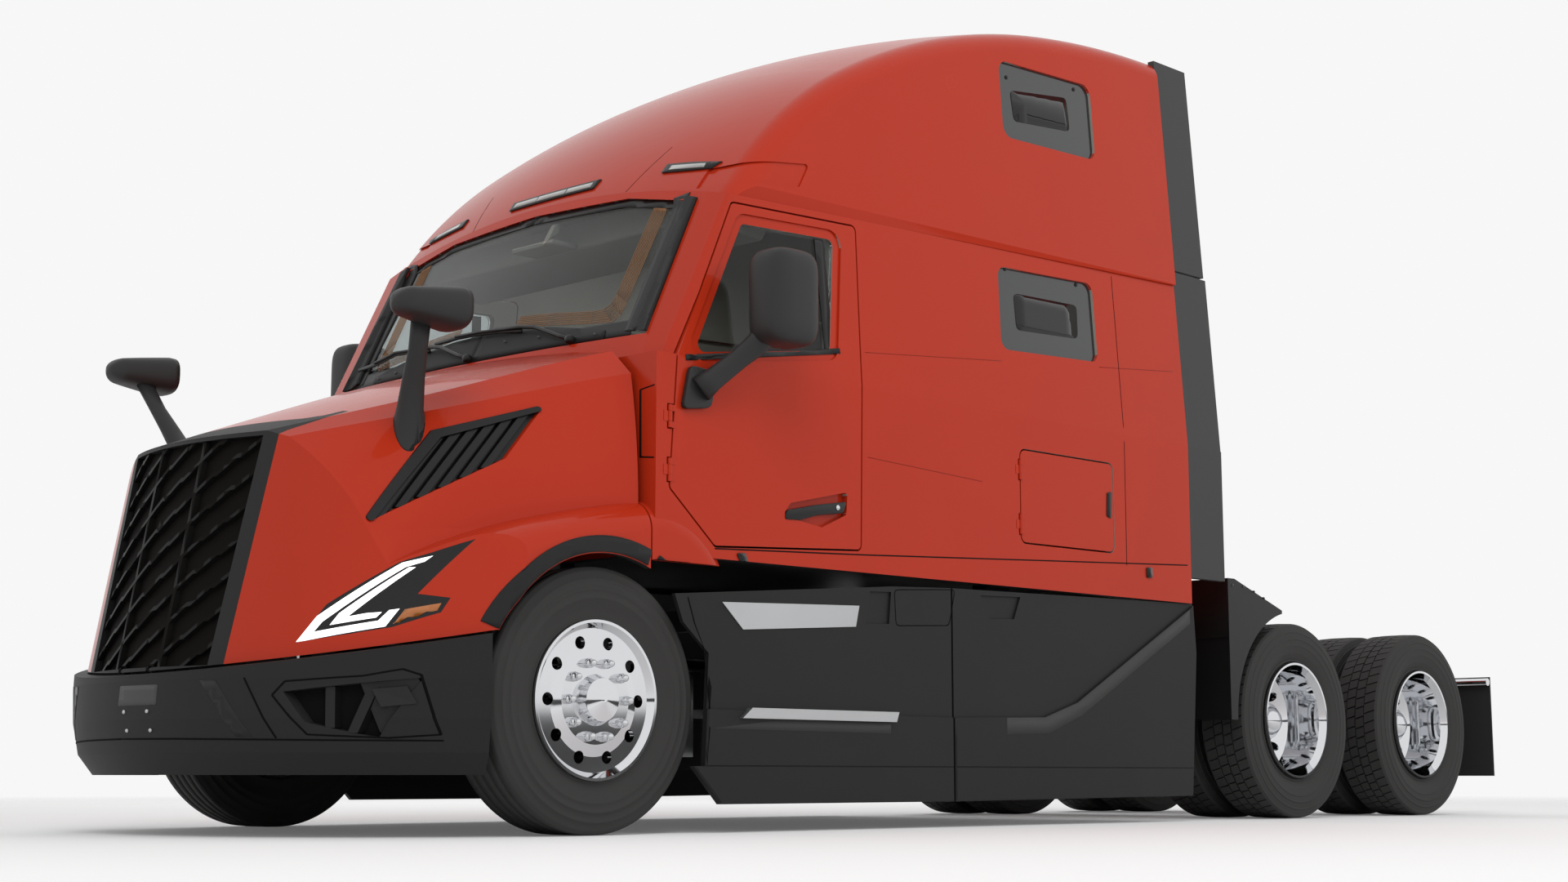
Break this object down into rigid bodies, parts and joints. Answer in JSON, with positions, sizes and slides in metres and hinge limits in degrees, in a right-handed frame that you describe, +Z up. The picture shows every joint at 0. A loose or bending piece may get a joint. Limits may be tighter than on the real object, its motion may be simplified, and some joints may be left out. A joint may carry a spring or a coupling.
{
  "type": "semi truck tractor unit",
  "caption": "Three-axle highway tractor unit with a tilting hood, a high-roof sleeper cab, two driven axles on twin wheels, side skirts and a fifth wheel.",
  "frame": {"origin": "on the ground, on the centreline, in the middle of the overall length", "axes": "+X to the driver side (left), -Y forward, +Z up"},
  "size_m": [3.085, 8.28, 3.9802],
  "materials": {
    "body_red": "gloss metallic clear coat",
    "trim_grey": "satin moulded",
    "trim_black": "semi gloss moulded",
    "lamp": "clear lens over dark housing",
    "lamp_red": "red lens",
    "glass": "tinted clear",
    "chassis": "black chassis paint",
    "cast": "painted casting",
    "chrome": "polished",
    "alloy": "brushed tread plate",
    "tyre": "rubber with tread",
    "rubber": "moulded rubber",
    "seat_fabric": "woven upholstery",
    "interior": "grained moulding"
  },
  "bodies": {
    "chassis": {"frame_rails": "chassis", "engine_block": "cast", "radiator": "chassis", "front_axle": "cast", "leaf_springs": "chassis", "drive_axles": "cast", "air_springs": "rubber", "bumper": "trim_grey", "bumper_vents": "trim_black", "fuel_tanks": "alloy", "side_brackets": "chassis", "side_skirts": "trim_grey", "step_treads": "alloy", "cab_shell": "body_red", "cab_mounts": "chassis", "roof_fairing": "body_red", "cowl_panels": "body_red", "side_extenders": "trim_grey", "windshield": "glass", "sleeper_windows": "glass", "seats": "seat_fabric", "dashboard": "interior", "steering_wheel": "trim_black", "bunk_base": "interior", "mattress": "seat_fabric", "quarter_fenders": "trim_black", "mud_flaps": "rubber", "flap_hangers": "chrome", "tail_lamps": "lamp_red", "fifth_wheel_base": "cast"},
    "hood": {"hood_shell": "body_red", "grille": "trim_black", "grille_surround": "trim_grey", "headlamps": "lamp", "hood_vents": "trim_black", "hood_mirrors": "trim_grey"},
    "fifth_wheel": {"fifth_wheel_plate": "cast"},
    "cab_door_left": {"door_left": "body_red", "door_glass_left": "glass", "mirror_left": "trim_grey"},
    "baggage_hatch_left": {"baggage_door_left": "body_red"},
    "steering_left": {"knuckle_left": "cast"},
    "front_wheel_left": {"tyre_front_left": "tyre", "wheel_front_left": "chrome"},
    "drive_wheels_1_left": {"tyres_drive_1_left": "tyre", "wheels_drive_1_left": "chrome"},
    "drive_wheels_2_left": {"tyres_drive_2_left": "tyre", "wheels_drive_2_left": "chrome"},
    "cab_door_right": {"door_right": "body_red", "door_glass_right": "glass", "mirror_right": "trim_grey"},
    "baggage_hatch_right": {"baggage_door_right": "body_red"},
    "steering_right": {"knuckle_right": "cast"},
    "front_wheel_right": {"tyre_front_right": "tyre", "wheel_front_right": "chrome"},
    "drive_wheels_1_right": {"tyres_drive_1_right": "tyre", "wheels_drive_1_right": "chrome"},
    "drive_wheels_2_right": {"tyres_drive_2_right": "tyre", "wheels_drive_2_right": "chrome"}
  },
  "joints": [
    {"name": "hood_tilt", "type": "hinge", "parent": "chassis", "child": "hood", "pos_m": [0, -4.066, 0.602], "axis": [1, 0, 0], "range_deg": [0, 60]},
    {"name": "fifth_wheel_tilt", "type": "hinge", "parent": "chassis", "child": "fifth_wheel", "pos_m": [0, 2.58, 1.12], "axis": [1, 0, 0], "range_deg": [-15, 15]},
    {"name": "door_left_swing", "type": "hinge", "parent": "chassis", "child": "cab_door_left", "pos_m": [1.21747, -2.524, 1.5], "axis": [0, 0, -1], "range_deg": [0, 75]},
    {"name": "baggage_left_swing", "type": "hinge", "parent": "chassis", "child": "baggage_hatch_left", "pos_m": [1.23261, -0.361, 1.48], "axis": [0, 0, -1], "range_deg": [0, 90]},
    {"name": "steer_left", "type": "hinge", "parent": "chassis", "child": "steering_left", "pos_m": [0.89, -2.84, 0.498], "axis": [0, 0, 1], "range_deg": [-40, 40]},
    {"name": "front_wheel_left_spin", "type": "hinge", "parent": "steering_left", "child": "front_wheel_left", "pos_m": [1.038, -2.84, 0.498], "axis": [1, 0, 0], "continuous": true},
    {"name": "drive_1_left_spin", "type": "hinge", "parent": "chassis", "child": "drive_wheels_1_left", "pos_m": [0.895, 1.98, 0.508], "axis": [1, 0, 0], "continuous": true},
    {"name": "drive_2_left_spin", "type": "hinge", "parent": "chassis", "child": "drive_wheels_2_left", "pos_m": [0.895, 3.3, 0.508], "axis": [1, 0, 0], "continuous": true},
    {"name": "door_right_swing", "type": "hinge", "parent": "chassis", "child": "cab_door_right", "pos_m": [-1.21747, -2.524, 1.5], "axis": [0, 0, 1], "range_deg": [0, 75]},
    {"name": "baggage_right_swing", "type": "hinge", "parent": "chassis", "child": "baggage_hatch_right", "pos_m": [-1.23261, -0.361, 1.48], "axis": [0, 0, 1], "range_deg": [0, 90]},
    {"name": "steer_right", "type": "hinge", "parent": "chassis", "child": "steering_right", "pos_m": [-0.89, -2.84, 0.498], "axis": [0, 0, 1], "range_deg": [-40, 40]},
    {"name": "front_wheel_right_spin", "type": "hinge", "parent": "steering_right", "child": "front_wheel_right", "pos_m": [-1.038, -2.84, 0.498], "axis": [1, 0, 0], "continuous": true},
    {"name": "drive_1_right_spin", "type": "hinge", "parent": "chassis", "child": "drive_wheels_1_right", "pos_m": [-0.895, 1.98, 0.508], "axis": [1, 0, 0], "continuous": true},
    {"name": "drive_2_right_spin", "type": "hinge", "parent": "chassis", "child": "drive_wheels_2_right", "pos_m": [-0.895, 3.3, 0.508], "axis": [1, 0, 0], "continuous": true}
  ],
  "couplings": [
    {"joint": "steer_right", "follows": "steer_left", "ratio": 1}
  ]
}
